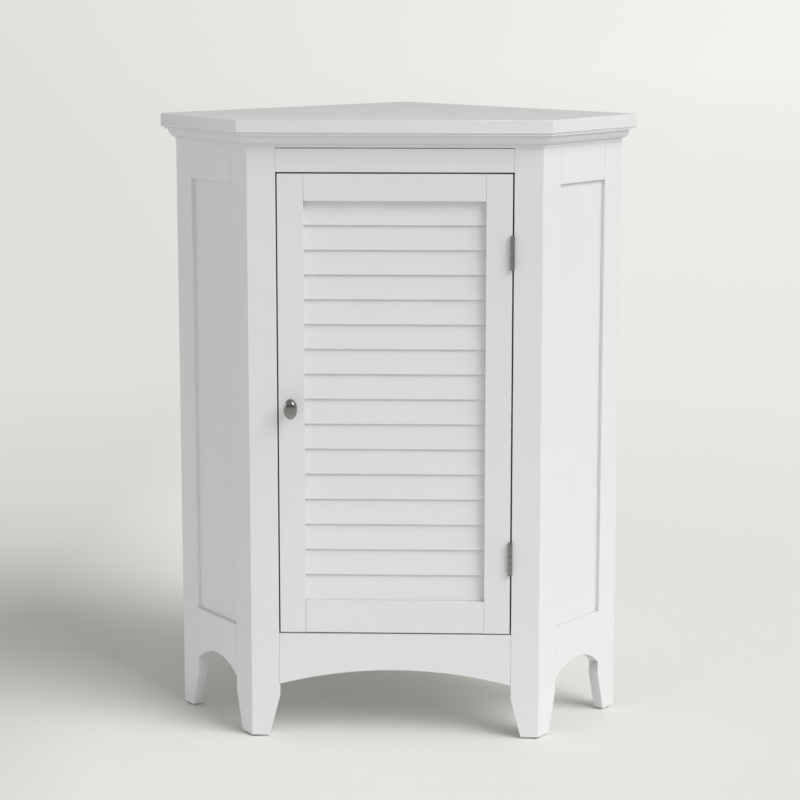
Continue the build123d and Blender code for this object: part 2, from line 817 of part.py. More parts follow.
# Door: two stiles, two rails and a run of fixed slats let into the stiles.
# The slats lean back at the top, and stand a little further apart towards the bottom.
tilt_run = sin(radians(slat_tilt))
tilt_rise = cos(radians(slat_tilt))
slat_middle_y = slat_recess + slat_width / 2 * tilt_run + slat_thickness / 2 * tilt_rise
slat_middle_rise = slat_width / 2 * tilt_rise - slat_thickness / 2 * tilt_run
slat_shares = [(number + 1) / slat_count for number in range(slat_count)]
slat_edges = [
    louver_top - louver_height * ((1 - slat_spread) * share + slat_spread * share**2) for share in slat_shares
]
slat_half_length = half_louver + slat_tenon - panel_gap


def slat_plane(x, edge):
    """Plane across the door's width at x, centred on the slat whose front lower edge is given."""
    origin = (x, front_y + slat_middle_y, edge + slat_middle_rise)
    return Plane(origin, x_dir=(0, tilt_run, tilt_rise), z_dir=(1, 0, 0))


for number, edge in enumerate(slat_edges, 1):
    with BuildPart() as louver_slat:
        with BuildSketch(slat_plane(0, edge)):
            RectangleRounded(slat_width, slat_thickness, slat_round)
        extrude(amount=slat_half_length, both=True)
        with Locations((0, front_y, louver_bottom)):
            Box(
                front_width,
                door_thickness,
                louver_height,
                align=(Align.CENTER, Align.MIN, Align.MIN),
                mode=Mode.INTERSECT,
            )
    save(louver_slat.part, f"louver_slat_{number:02d}")

with BuildPart() as door_stile:
    with BuildSketch(front):
        with Locations((half_louver, door_bottom)):
            Rectangle(stile_width, door_top - door_bottom, align=Align.MIN)
    extrude(amount=-door_thickness)
    for edge in slat_edges:
        with BuildSketch(slat_plane(half_louver, edge)):
            RectangleRounded(slat_width + 2 * slat_fit, slat_thickness + 2 * slat_fit, slat_round + slat_fit)
        extrude(amount=slat_tenon, mode=Mode.SUBTRACT)
    drill(door_joint.offset(half_dowel), door_dowel_places, dowel_hole, half_dowel)

with BuildPart() as door_stile_right:
    add(door_stile.part)
    screw_seats(door_leaf_face, hinge_screws)
save(door_stile_right.part, "door_stile_right")

knob_x = -(half_louver + stile_width / 2)
knob_z = (door_top + door_bottom) / 2
door_back = front.offset(-door_thickness)

with BuildPart() as door_stile_left:
    mirror(door_stile.part, about=Plane.YZ)
    drill(front, [(knob_x, knob_z)], knob_screw_radius + screw_clearance, door_thickness)
save(door_stile_left.part, "door_stile_left")

strike_z = door_top - strike_drop - strike_height / 2
strike_face = Plane(
    (0, front_y + door_thickness + strike_thickness, 0), x_dir=(-1, 0, 0), z_dir=(0, 1, 0)
)
strike_screw = [(-catch_x, strike_z)]

with BuildPart() as door_top_rail:
    with BuildSketch(front):
        with Locations((0, louver_top)):
            Rectangle(2 * half_louver, door_top_rail_height, align=(Align.CENTER, Align.MIN))
    extrude(amount=-door_thickness)
    drill(door_joint, door_top_dowels, dowel_hole, half_dowel)
    mirror(about=Plane.YZ, mode=Mode.INTERSECT)
    screw_seats(strike_face, strike_screw)
save(door_top_rail.part, "door_top_rail")

with BuildPart() as door_bottom_rail:
    with BuildSketch(front):
        with Locations((0, door_bottom)):
            Rectangle(2 * half_louver, door_bottom_rail_height, align=(Align.CENTER, Align.MIN))
    extrude(amount=-door_thickness)
    drill(door_joint, door_bottom_dowels, dowel_hole, half_dowel)
    mirror(about=Plane.YZ, mode=Mode.INTERSECT)
save(door_bottom_rail.part, "door_bottom_rail")

with BuildPart() as strike_plate:
    with BuildSketch(door_back):
        with Locations((catch_x, strike_z)):
            Rectangle(strike_width, strike_height)
    extrude(amount=-strike_thickness)
    screw_seats(strike_face, strike_screw)
save(strike_plate.part, "strike_plate")

with BuildPart() as door_screws:
    wood_screws(door_leaf_face, hinge_screws)
    wood_screws(strike_face, strike_screw)
save(door_screws.part, "door_screws")

# Knob: an oval head on a round neck and foot, held by a screw from behind the door
with BuildPart() as door_knob:
    with BuildSketch(front.offset(knob_projection - knob_head)):
        with Locations((knob_x, knob_z)):
            Ellipse(knob_width / 2, knob_height / 2)
    extrude(amount=knob_head)
    fillet(door_knob.edges().sort_by(Axis.Y)[0], knob_front_round)
    fillet(door_knob.edges().sort_by(Axis.Y)[-1], knob_back_round)
    pegs(front, [(knob_x, knob_z)], knob_foot_radius, knob_foot_height)
    pegs(front, [(knob_x, knob_z)], knob_neck_radius, knob_projection - knob_head)
    thread = knob_screw_grip + screw_clearance
    drill(front.offset(thread), [(knob_x, knob_z)], knob_screw_radius + screw_clearance, thread)
save(door_knob.part, "door_knob")

with BuildPart() as knob_screw:
    pegs(door_back, [(knob_x, knob_z)], knob_screw_radius, door_thickness + knob_screw_grip)
    head = door_back.offset(-knob_screw_head_height)
    pegs(head, [(knob_x, knob_z)], knob_screw_head_radius, knob_screw_head_height)
save(knob_screw.part, "knob_screw")
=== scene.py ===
from math import cos, pi, radians, sin

import bmesh
import bpy
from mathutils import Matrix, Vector


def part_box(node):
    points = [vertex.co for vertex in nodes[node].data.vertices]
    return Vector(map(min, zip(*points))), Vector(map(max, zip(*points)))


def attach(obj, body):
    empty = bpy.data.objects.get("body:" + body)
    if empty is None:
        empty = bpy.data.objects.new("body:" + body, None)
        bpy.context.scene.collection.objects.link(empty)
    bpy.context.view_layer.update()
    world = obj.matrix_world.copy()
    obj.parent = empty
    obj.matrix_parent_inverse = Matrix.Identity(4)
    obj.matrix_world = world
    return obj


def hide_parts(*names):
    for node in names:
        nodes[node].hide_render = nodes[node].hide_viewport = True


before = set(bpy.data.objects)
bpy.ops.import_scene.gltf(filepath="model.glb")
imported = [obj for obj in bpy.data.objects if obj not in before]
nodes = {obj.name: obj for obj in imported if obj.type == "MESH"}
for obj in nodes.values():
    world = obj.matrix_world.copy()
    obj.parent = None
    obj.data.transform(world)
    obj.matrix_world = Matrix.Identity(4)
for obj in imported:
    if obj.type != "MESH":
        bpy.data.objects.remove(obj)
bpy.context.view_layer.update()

# Posts. Five solid wood posts carry the cabinet: a V-shaped one at each front arris, a flat
# one at the back of each side, and a right-angled one in the corner of the room. They are
# planed, their arrises eased with sandpaper, and sprayed with satin white paint.


def node_in(tree, kind, **settings):
    """Adds a node to a shader or geometry tree and sets its properties."""
    made = tree.nodes.new(kind)
    for key, value in settings.items():
        setattr(made, key, value)
    return made


def shader_group(name, inputs, outputs):
    """Starts a shader node group with named sockets."""
    group = bpy.data.node_groups.new(name, "ShaderNodeTree")
    for label, kind, value in inputs:
        socket = group.interface.new_socket(name=label, in_out="INPUT", socket_type=kind)
        if value is not None:
            socket.default_value = value
    for label, kind in outputs:
        group.interface.new_socket(name=label, in_out="OUTPUT", socket_type=kind)
    return group, node_in(group, "NodeGroupInput"), node_in(group, "NodeGroupOutput")


def noise(tree, place, scale, detail, roughness=0.5):
    """A noise pattern on the given coordinates."""
    texture = node_in(tree, "ShaderNodeTexNoise")
    texture.inputs["Scale"].default_value = scale
    texture.inputs["Detail"].default_value = detail
    texture.inputs["Roughness"].default_value = roughness
    tree.links.new(place, texture.inputs["Vector"])
    return texture.outputs["Fac"]


def ramp(tree, value, low, high, to_low, to_high):
    """Stretches a value from one range to another, clamped."""
    spread = node_in(tree, "ShaderNodeMapRange")
    limits = {"From Min": low, "From Max": high, "To Min": to_low, "To Max": to_high}
    for label, number in limits.items():
        spread.inputs[label].default_value = number
    tree.links.new(value, spread.inputs["Value"])
    return spread.outputs["Result"]


def math_node(tree, operation, first, second):
    """Combines two values; each is a socket or a number."""
    made = node_in(tree, "ShaderNodeMath", operation=operation)
    for socket, value in zip(made.inputs, (first, second)):
        if isinstance(value, (int, float)):
            socket.default_value = value
        else:
            tree.links.new(value, socket)
    return made.outputs["Value"]


def blend_colours(tree, amount, first, second):
    """Mixes two colours by a value; each is a socket or a colour."""
    made = node_in(tree, "ShaderNodeMix", data_type="RGBA")
    tree.links.new(amount, made.inputs["Factor"])
    for label, colour in (("A", first), ("B", second)):
        if isinstance(colour, tuple):
            made.inputs[label].default_value = colour
        else:
            tree.links.new(colour, made.inputs[label])
    return made.outputs["Result"]


# Sprayed paint: cloudy differences in film thickness, wood grain that telegraphs through it,
# a fine orange peel, and a trace of dust with painted shade in the seams
paint_group, paint_in, paint_out = shader_group(
    "sprayed_paint",
    [
        ("Place", "NodeSocketVector", None),
        ("Grain Place", "NodeSocketVector", None),
        ("Full Coat", "NodeSocketColor", (0.8, 0.8, 0.8, 1)),
        ("Thin Coat", "NodeSocketColor", (0.76, 0.76, 0.757, 1)),
        ("Edge", "NodeSocketFloat", 0.0),
        ("Seam", "NodeSocketFloat", 0.0),
        ("Sheen Roughness", "NodeSocketFloat", 0.4),
    ],
    [("Colour", "NodeSocketColor"), ("Roughness", "NodeSocketFloat"), ("Height", "NodeSocketFloat")],
)
cloud = noise(paint_group, paint_in.outputs["Place"], 5.0, 3.0, 0.55)
grain = noise(paint_group, paint_in.outputs["Grain Place"], 1.0, 6.0, 0.62)
peel = noise(paint_group, paint_in.outputs["Place"], 620.0, 2.0)
scuff = noise(paint_group, paint_in.outputs["Place"], 46.0, 5.0, 0.7)
thinness = math_node(
    paint_group,
    "ADD",
    ramp(paint_group, cloud, 0.35, 0.65, 0.0, 0.35),
    ramp(paint_group, grain, 0.55, 0.8, 0.0, 0.35),
)
edge_wear = math_node(
    paint_group, "MULTIPLY", paint_in.outputs["Edge"], ramp(paint_group, scuff, 0.3, 0.7, 0.1, 0.8)
)
thinness = math_node(paint_group, "MAXIMUM", thinness, edge_wear)
coated = blend_colours(
    paint_group, thinness, paint_in.outputs["Full Coat"], paint_in.outputs["Thin Coat"]
)
# Dust and painted shade in the seams: a dark grey mixed into the paint on rounded faces that lie in a
# joint
dust_and_shade_grey = (0.42, 0.42, 0.41, 1)
dust_and_shade_amount = math_node(
    paint_group, "MULTIPLY", paint_in.outputs["Seam"], ramp(paint_group, scuff, 0.2, 0.8, 0.45, 0.75)
)
paint_group.links.new(blend_colours(paint_group, dust_and_shade_amount, coated, dust_and_shade_grey), paint_out.inputs["Colour"])
paint_group.links.new(
    math_node(
        paint_group,
        "ADD",
        paint_in.outputs["Sheen Roughness"],
        ramp(paint_group, scuff, 0.3, 0.75, -0.05, 0.07),
    ),
    paint_out.inputs["Roughness"],
)
paint_group.links.new(
    math_node(
        paint_group,
        "ADD",
        ramp(paint_group, peel, 0.2, 0.8, 0.0, 0.5),
        ramp(paint_group, grain, 0.3, 0.8, 0.5, 0.0),
    ),
    paint_out.inputs["Height"],
)


def new_material(name, roughness=0.4, metallic=0.0):
    """A material with one Principled shader; returns it with its tree and that shader."""
    made = bpy.data.materials.new(name)
    made.use_nodes = True
    shader = made.node_tree.nodes["Principled BSDF"]
    shader.inputs["Roughness"].default_value = roughness
    shader.inputs["Metallic"].default_value = metallic
    return made, made.node_tree, shader


def mapped(tree, scale):
    """Object coordinates, stretched."""
    place = node_in(tree, "ShaderNodeTexCoord")
    mapping = node_in(tree, "ShaderNodeMapping")
    mapping.inputs["Scale"].default_value = scale
    tree.links.new(place.outputs["Object"], mapping.inputs["Vector"])
    return mapping.outputs["Vector"]


def bumped(tree, shader, height, distance, strength):
    """Feeds a height into the shader's normal."""
    bump = node_in(tree, "ShaderNodeBump")
    bump.inputs["Distance"].default_value = distance
    bump.inputs["Strength"].default_value = strength
    tree.links.new(height, bump.inputs["Height"])
    tree.links.new(bump.outputs["Normal"], shader.inputs["Normal"])


def finish_from(group, name, places, values, bump_height, bump_strength, metallic=0.0, marks=()):
    """A material whose colour, roughness and relief come from a group.

    The places are stretched object coordinates, and the marks are face attributes.
    """
    made, tree, shader = new_material(name, metallic=metallic)
    effect = node_in(tree, "ShaderNodeGroup", node_tree=group)
    for label, scale in places.items():
        tree.links.new(mapped(tree, scale), effect.inputs[label])
    for label in marks:
        mark = node_in(tree, "ShaderNodeAttribute", attribute_name=label.lower())
        tree.links.new(mark.outputs["Fac"], effect.inputs[label])
    for label, value in values.items():
        effect.inputs[label].default_value = (*value, 1) if isinstance(value, tuple) else value
    tree.links.new(effect.outputs["Colour"], shader.inputs["Base Color"])
    tree.links.new(effect.outputs["Roughness"], shader.inputs["Roughness"])
    bumped(tree, shader, effect.outputs["Height"], bump_height, bump_strength)
    return made


def satin_paint(name, grain_scale, tone=(0.80, 0.80, 0.80)):
    """Satin white paint over wood whose grain runs along the least stretched axis."""
    thin_tone = (tone[0] * 0.95, tone[1] * 0.95, tone[2] * 0.947)
    return finish_from(
        paint_group,
        name,
        places={"Place": (1, 1, 1), "Grain Place": grain_scale},
        values={"Full Coat": tone, "Thin Coat": thin_tone, "Sheen Roughness": 0.42},
        bump_height=0.00012,
        bump_strength=0.35,
        marks=("Edge", "Seam"),
    )


upright_paint = satin_paint("satin_white_upright", (170, 170, 5))
level_paint = satin_paint("satin_white_level", (5, 5, 170))
top_paint = satin_paint("satin_white_top", (5, 150, 150))


# Upright planes of the seams between posts and rails, and between stiles and rails: the way
# across each seam, and how far along that way it lies. Rounded faces in them get dust with painted
# shade
splay = radians(52.5)
front_face = -0.2101
half_front = 0.18825
half_opening = 0.15175
half_louver = 0.11645
side_panel_ends = (0.038, 0.1385)
seams = [((1, 0, 0), x) for x in (-half_opening, half_opening, -half_louver, half_louver)]
arris_reach = half_front * cos(splay) + front_face * sin(splay)
for hand in (-1, 1):
    for along in side_panel_ends:
        seams.append(((hand * cos(splay), sin(splay), 0), arris_reach + along))


def in_seam(point):
    """True within a millimetre of a seam's plane."""
    return any(abs(Vector(way).dot(point) - reach) < 0.001 for way, reach in seams)


def eased(
    node, body, finish, ease=0.0006, least_edge=0.0025, prepare=None, seam_dust_and_shade=0.0
):
    """A finished copy of a CAD piece with its long outer edges rounded over, in that piece's place."""
    nearly_flat = 0.004
    crease = radians(28)
    shape = bmesh.new()
    shape.from_mesh(nodes[node].data)
    worn = shape.faces.layers.float.new("edge")
    dust_and_shade_layer = shape.faces.layers.float.new("seam")
    bmesh.ops.remove_doubles(shape, verts=shape.verts, dist=1e-5)
    bmesh.ops.dissolve_limit(shape, angle_limit=radians(0.5), verts=shape.verts, edges=shape.edges)
    if prepare:
        prepare(shape)
    outer = [
        edge
        for edge in shape.edges
        if edge.is_manifold
        and edge.calc_length() > least_edge
        and edge.calc_face_angle_signed() > crease
    ]
    rounded = bmesh.ops.bevel(
        shape, geom=outer, offset=ease, offset_type="OFFSET", segments=2, profile=0.5, affect="EDGES",
        clamp_overlap=True,
    )
    for face in rounded["faces"]:
        face[worn] = 1.0
        # Dust with painted shade on the rounded faces that lie in a seam, as strong as the piece asks
        # for
        face[dust_and_shade_layer] = seam_dust_and_shade * in_seam(face.calc_center_median())
        face.smooth = True
    for face in shape.faces:
        if face[worn] == 0.0:
            face.smooth = any(
                edge.is_manifold
                and nearly_flat < abs(edge.calc_face_angle_signed()) < crease
                and not any(other[worn] for other in edge.link_faces)
                for edge in face.edges
            )
    mesh = bpy.data.meshes.new(f"{node}_finished")
    shape.to_mesh(mesh)
    shape.free()
    mesh.materials.append(finish)
    piece = bpy.data.objects.new(f"{node}_finished", mesh)
    bpy.context.collection.objects.link(piece)
    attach(piece, body)
    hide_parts(node)
    return piece


for name in ("front_post_left", "front_post_right", "rear_post_left", "rear_post_right"):
    eased(name, "carcass", upright_paint)
eased("back_corner_post", "carcass", upright_paint)

# Rails. Straight boards join the posts above the door and the side panels, and arched ones
# below; each is dowelled and glued end to face, so a fine line shows at every joint, darkened
# with dust and painted shade. The front top rail stops just short of the crown moulding, which leaves
# a dark line there.
rail_gap = 0.0009


def stop_below_crown(shape):
    """Cuts the rail off just under the moulding's foot."""
    level = (0, 0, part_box("crown_front")[0].z - rail_gap)
    parts = shape.verts[:] + shape.edges[:] + shape.faces[:]
    bmesh.ops.bisect_plane(shape, geom=parts, plane_co=level, plane_no=(0, 0, 1), clear_outer=True)
    bmesh.ops.holes_fill(shape, edges=[edge for edge in shape.edges if edge.is_boundary])
    bmesh.ops.recalc_face_normals(shape, faces=shape.faces)


eased("front_top_rail", "carcass", level_paint, prepare=stop_below_crown, seam_dust_and_shade=0.85)
eased("front_apron", "carcass", level_paint, seam_dust_and_shade=0.85)
for height in ("top", "bottom"):
    for side in ("left", "right"):
        eased(f"side_{height}_rail_{side}", "carcass", level_paint, seam_dust_and_shade=0.15)

# Dowels. Fluted beech pins, glued half into a rail and half into a post or a stile, two to
# each joint. They are sealed inside the wood.
wood_group, wood_in, wood_out = shader_group(
    "wood_grain",
    [
        ("Place", "NodeSocketVector", None),
        ("Early Wood", "NodeSocketColor", (0.7, 0.55, 0.36, 1)),
        ("Late Wood", "NodeSocketColor", (0.5, 0.34, 0.18, 1)),
    ],
    [("Colour", "NodeSocketColor"), ("Roughness", "NodeSocketFloat"), ("Height", "NodeSocketFloat")],
)
rings = noise(wood_group, wood_in.outputs["Place"], 1.0, 4.0, 0.6)
pores = noise(wood_group, wood_in.outputs["Place"], 7.0, 3.0, 0.6)
wood_group.links.new(
    blend_colours(
        wood_group,
        math_node(
            wood_group,
            "ADD",
            ramp(wood_group, rings, 0.38, 0.62, 0.0, 0.8),
            ramp(wood_group, pores, 0.6, 0.75, 0.0, 0.3),
        ),
        wood_in.outputs["Early Wood"],
        wood_in.outputs["Late Wood"],
    ),
    wood_out.inputs["Colour"],
)
wood_group.links.new(ramp(wood_group, rings, 0.3, 0.7, 0.7, 0.55), wood_out.inputs["Roughness"])
wood_group.links.new(ramp(wood_group, pores, 0.5, 0.7, 1.0, 0.0), wood_out.inputs["Height"])


def bare_wood(name, grain_scale, early, late):
    """Planed wood without a finish."""
    return finish_from(
        wood_group,
        name,
        places={"Place": grain_scale},
        values={"Early Wood": early, "Late Wood": late},
        bump_height=0.0002,
        bump_strength=0.5,
    )


def refinish(node, finish):
    """Gives a CAD piece that is shown as it is a better material."""
    for place in nodes[node].material_slots:
        place.material = finish


beech = bare_wood("beech", (40, 300, 300), (0.66, 0.46, 0.28), (0.55, 0.35, 0.2))
refinish("frame_dowels", beech)
refinish("door_dowels", beech)

# Panels. Thin boards of fibreboard, painted like the frame: the side ones float in grooves, and
# the back ones lie in rebates, held by flat-headed steel nails.
panel_paint = satin_paint("satin_white_panel", (9, 9, 9), (0.795, 0.795, 0.795))
for name in ("side_panel_left", "side_panel_right", "back_panel_left", "back_panel_right"):
    eased(name, "carcass", panel_paint, ease=0.0004)

metal_group, metal_in, metal_out = shader_group(
    "worn_metal",
    [
        ("Place", "NodeSocketVector", None),
        ("Brush Place", "NodeSocketVector", None),
        ("Bright", "NodeSocketColor", (0.6, 0.6, 0.6, 1)),
        ("Dull", "NodeSocketColor", (0.4, 0.4, 0.4, 1)),
        ("Polish", "NodeSocketFloat", 0.3),
    ],
    [("Colour", "NodeSocketColor"), ("Roughness", "NodeSocketFloat"), ("Height", "NodeSocketFloat")],
)
tarnish = noise(metal_group, metal_in.outputs["Place"], 150.0, 4.0, 0.6)
brushing = noise(metal_group, metal_in.outputs["Brush Place"], 1.0, 3.0, 0.7)
metal_group.links.new(
    blend_colours(
        metal_group,
        math_node(
            metal_group,
            "ADD",
            ramp(metal_group, tarnish, 0.45, 0.7, 0.0, 0.6),
            ramp(metal_group, brushing, 0.4, 0.8, 0.0, 0.4),
        ),
        metal_in.outputs["Bright"],
        metal_in.outputs["Dull"],
    ),
    metal_out.inputs["Colour"],
)
metal_group.links.new(
    math_node(
        metal_group,
        "ADD",
        metal_in.outputs["Polish"],
        ramp(metal_group, brushing, 0.3, 0.7, -0.06, 0.08),
    ),
    metal_out.inputs["Roughness"],
)
metal_group.links.new(brushing, metal_out.inputs["Height"])


def worn_metal(name, bright, dull, polish, brush_scale):
    """Plated metal with tarnish and fine brushing."""
    return finish_from(
        metal_group,
        name,
        places={"Place": (1, 1, 1), "Brush Place": brush_scale},
        values={"Bright": bright, "Dull": dull, "Polish": polish},
        bump_height=0.00005,
        bump_strength=0.3,
        metallic=1.0,
    )


zinc = worn_metal("bright_zinc", (0.66, 0.67, 0.69), (0.45, 0.46, 0.48), 0.32, (900, 900, 900))


def geometry_tree(name, sizes):
    """Starts a Geometry Nodes tree with one named input for each size."""
    tree = bpy.data.node_groups.new(name, "GeometryNodeTree")
    tree.interface.new_socket(name="Geometry", in_out="INPUT", socket_type="NodeSocketGeometry")
    for label in sizes:
        kind = "NodeSocketInt" if label == "Count" else "NodeSocketFloat"
        tree.interface.new_socket(name=label, in_out="INPUT", socket_type=kind)
    tree.interface.new_socket(name="Geometry", in_out="OUTPUT", socket_type="NodeSocketGeometry")
    return tree, node_in(tree, "NodeGroupInput").outputs, node_in(tree, "NodeGroupOutput").inputs


def feed(tree, node, **values):
    """Sets a node's inputs, named with underscores for spaces, from sockets or numbers."""
    for label, value in values.items():
        socket = node.inputs[label.replace("_", " ")]
        if isinstance(value, bpy.types.NodeSocket):
            tree.links.new(value, socket)
        else:
            socket.default_value = value
    return node.outputs[0]


def grown(name, tree, sizes, body, replaced, base=None):
    """Runs a tree with these sizes, keeps the result as a plain mesh, and ties it to its body."""
    piece = bpy.data.objects.new(name, base or bpy.data.meshes.new(name))
    bpy.context.collection.objects.link(piece)
    modifier = piece.modifiers.new(name, "NODES")
    modifier.node_group = tree
    for socket in tree.interface.items_tree:
        if socket.in_out == "INPUT" and socket.name in sizes:
            modifier[socket.identifier] = sizes[socket.name]
    shown = piece.evaluated_get(bpy.context.evaluated_depsgraph_get())
    mesh = bpy.data.meshes.new_from_object(shown)
    piece.modifiers.clear()
    piece.data = mesh
    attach(piece, body)
    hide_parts(*replaced)
    return piece


fastener_sizes = (
    "Head Radius", "Neck Radius", "Head Height", "Shank Radius", "Shank Length",
    "Recess Width", "Recess Span", "Recess Depth",
)
fastener_tree, size, result = geometry_tree("fasteners", fastener_sizes)


def cone(top, bottom, height, raised):
    """A cone or cylinder, moved along its axis."""
    body = node_in(fastener_tree, "GeometryNodeMeshCone")
    feed(fastener_tree, body, Vertices=20, Radius_Top=top, Radius_Bottom=bottom, Depth=height)
    moved = node_in(fastener_tree, "GeometryNodeTransform")
    feed(fastener_tree, moved, Geometry=body.outputs["Mesh"], Translation=raised)
    return moved.outputs[0]


def upward(height):
    """A vector of that height."""
    return feed(fastener_tree, node_in(fastener_tree, "ShaderNodeCombineXYZ"), Z=height)


def shape_math(operation, first, second):
    """Combines two sizes of a fastener."""
    return math_node(fastener_tree, operation, first, second)


def slot_bar(width, length, depth):
    """A bar that cuts one arm of the cross recess."""
    corner = node_in(fastener_tree, "ShaderNodeCombineXYZ")
    extents = feed(fastener_tree, corner, X=width, Y=length, Z=depth)
    return feed(fastener_tree, node_in(fastener_tree, "GeometryNodeMeshCube"), Size=extents)


head = cone(
    size["Head Radius"], size["Neck Radius"], size["Head Height"],
    upward(shape_math("MULTIPLY", size["Head Height"], -1.0)),
)
recess = node_in(fastener_tree, "GeometryNodeMeshBoolean", operation="DIFFERENCE")
feed(fastener_tree, recess, Mesh_1=head)
twice_deep = shape_math("MULTIPLY", size["Recess Depth"], 2.0)
for bar in (
    slot_bar(size["Recess Width"], size["Recess Span"], twice_deep),
    slot_bar(size["Recess Span"], size["Recess Width"], twice_deep),
):
    fastener_tree.links.new(bar, recess.inputs["Mesh 2"])
shank = cone(
    size["Shank Radius"], shape_math("MULTIPLY", size["Shank Radius"], 0.9), size["Shank Length"],
    upward(shape_math("MULTIPLY", size["Shank Length"], -1.0)),
)
whole = node_in(fastener_tree, "GeometryNodeJoinGeometry")
fastener_tree.links.new(recess.outputs["Mesh"], whole.inputs[0])
fastener_tree.links.new(shank, whole.inputs[0])
aim = node_in(fastener_tree, "GeometryNodeInputNamedAttribute", data_type="FLOAT_VECTOR")
feed(fastener_tree, aim, Name="aim")
turned = node_in(fastener_tree, "FunctionNodeAlignRotationToVector", axis="Z")
feed(fastener_tree, turned, Vector=aim.outputs["Attribute"])
placed = node_in(fastener_tree, "GeometryNodeInstanceOnPoints")
feed(
    fastener_tree,
    placed,
    Points=size["Geometry"],
    Instance=whole.outputs[0],
    Rotation=turned.outputs[0],
)
single = node_in(fastener_tree, "GeometryNodeRealizeInstances")
feed(fastener_tree, single, Geometry=placed.outputs[0])
plated = node_in(fastener_tree, "GeometryNodeSetMaterial")
feed(fastener_tree, plated, Geometry=single.outputs[0], Material=zinc)
fastener_tree.links.new(plated.outputs[0], result["Geometry"])


def fasteners(name, sizes, places, body, replaced):
    """Like fasteners at places given as (point on the head's face, way out of it), in millimetres."""
    base = bpy.data.meshes.new(name)
    base.from_pydata([Vector(point) / 1000 for point, way in places], [], [])
    ways = base.attributes.new("aim", "FLOAT_VECTOR", "POINT")
    for number, (point, way) in enumerate(places):
        ways.data[number].vector = way
    in_metres = {label: value / 1000 for label, value in zip(fastener_sizes, sizes)}
    return grown(name, fastener_tree, in_metres, body, replaced, base)


flat_nail = (2.2, 2.2, 1.0, 0.9, 14, 0.3, 0.7, 0.05)
half_right_angle = 0.70711
backs_meet_at = 225.616
nail_places = []
for hand in (-1, 1):
    for along in (36.0, 407.05):
        for height in (165.9, 313.2, 460.45, 607.7, 755.0):
            aside = along * half_right_angle
            place = (hand * aside, backs_meet_at - aside, height)
            nail_places.append((place, (hand * half_right_angle, half_right_angle, 0)))
fasteners("back_panel_nails_finished", flat_nail, nail_places, "carcass", ["back_panel_nails"])

# Bottom and shelf. Both are painted boards; the bottom lies on glued softwood battens and the
# shelf on six steel pins.
for name in ("bottom_panel", "shelf"):
    eased(name, "carcass", panel_paint)
pine = bare_wood("pine", (120, 120, 14), (0.74, 0.58, 0.38), (0.62, 0.43, 0.24))
eased("bottom_cleats", "carcass", pine, ease=0.0005)
eased("shelf_pins", "carcass", zinc, ease=0.0004, least_edge=0.0002)

# Top. One board with its upper edge nearly sharp and its lower edge rounded, screwed on from
# below through four pine blocks, over a quarter-round moulding mitred at the arrises.
eased("top_panel", "carcass", top_paint, ease=0.0004)
for name in ("crown_front", "crown_side_left", "crown_side_right"):
    eased(name, "carcass", level_paint, ease=0.0003)
for name in ("top_blocks", "catch_block"):
    eased(name, "carcass", pine, ease=0.0005)
top_screw = (4, 4, 2.5, 2, 39.5, 1.0, 4.4, 1.4)
under_blocks = 767.5
top_screw_places = [
    ((hand * across, depth, under_blocks), (0, 0, -1))
    for across, depth in ((95.75, -185.104), (222.1, -124.904))
    for hand in (-1, 1)
]
fasteners("top_screws_finished", top_screw, top_screw_places, "carcass", ["top_screws"])

# Glides. Grey moulded plastic discs that keep the feet off a wet floor, each with a nail that
# is driven up into the end grain of its foot.
plastic_group, plastic_in, plastic_out = shader_group(
    "moulded_plastic",
    [
        ("Place", "NodeSocketVector", None),
        ("Body", "NodeSocketColor", None),
        ("Rubbed", "NodeSocketColor", None),
    ],
    [("Colour", "NodeSocketColor"), ("Roughness", "NodeSocketFloat"), ("Height", "NodeSocketFloat")],
)
speckle = noise(plastic_group, plastic_in.outputs["Place"], 900.0, 3.0)
rub = noise(plastic_group, plastic_in.outputs["Place"], 90.0, 4.0, 0.6)
plastic_group.links.new(
    blend_colours(
        plastic_group,
        ramp(plastic_group, rub, 0.45, 0.7, 0.0, 0.7),
        plastic_in.outputs["Body"],
        plastic_in.outputs["Rubbed"],
    ),
    plastic_out.inputs["Colour"],
)
plastic_group.links.new(ramp(plastic_group, rub, 0.3, 0.7, 0.5, 0.38), plastic_out.inputs["Roughness"])
plastic_group.links.new(speckle, plastic_out.inputs["Height"])


def moulded_plastic(name, tone, rubbed):
    """Moulded plastic with a fine texture, in another tone where it is rubbed."""
    return finish_from(
        plastic_group,
        name,
        places={"Place": (1, 1, 1)},
        values={"Body": tone, "Rubbed": rubbed},
        bump_height=0.00008,
        bump_strength=0.4,
    )


grey_plastic = moulded_plastic("grey_plastic", (0.08, 0.08, 0.075), (0.13, 0.13, 0.12))
eased("foot_glides", "carcass", grey_plastic, ease=0.0004, least_edge=0.0002)

# Door frame. Two stiles and two rails of solid wood, dowelled and glued, sprayed like the posts;
# the stiles are mortised for the ends of the slats.
for name in ("door_stile_left", "door_stile_right"):
    eased(name, "door", upright_paint, least_edge=0.006)
for name in ("door_top_rail", "door_bottom_rail"):
    eased(name, "door", level_paint, seam_dust_and_shade=0.85)

# Slats. Sixteen thin fixed slats of planed wood with rounded edges, tilted back a little at the
# top and let into the stiles, each lapping behind the one above, slightly wider apart lower down.
slat_sizes = {
    "Count": 16,
    "Slat Length": 0.2419,
    "Slat Width": 0.036,
    "Slat Thickness": 0.0024,
    "Edge Round": 0.0008,
    "Tilt": radians(6),
    "Opening Top": 0.7088,
    "Opening Height": 0.5237,
    "Spread": 0.04,
    "Front Recess": 0.007,
    "Door Face": front_face,
}
slat_tree, slat, slats_out = geometry_tree("louver_slats", slat_sizes)


def slat_math(operation, first, second=0.0):
    """Combines two of the slats' sizes."""
    return math_node(slat_tree, operation, first, second)


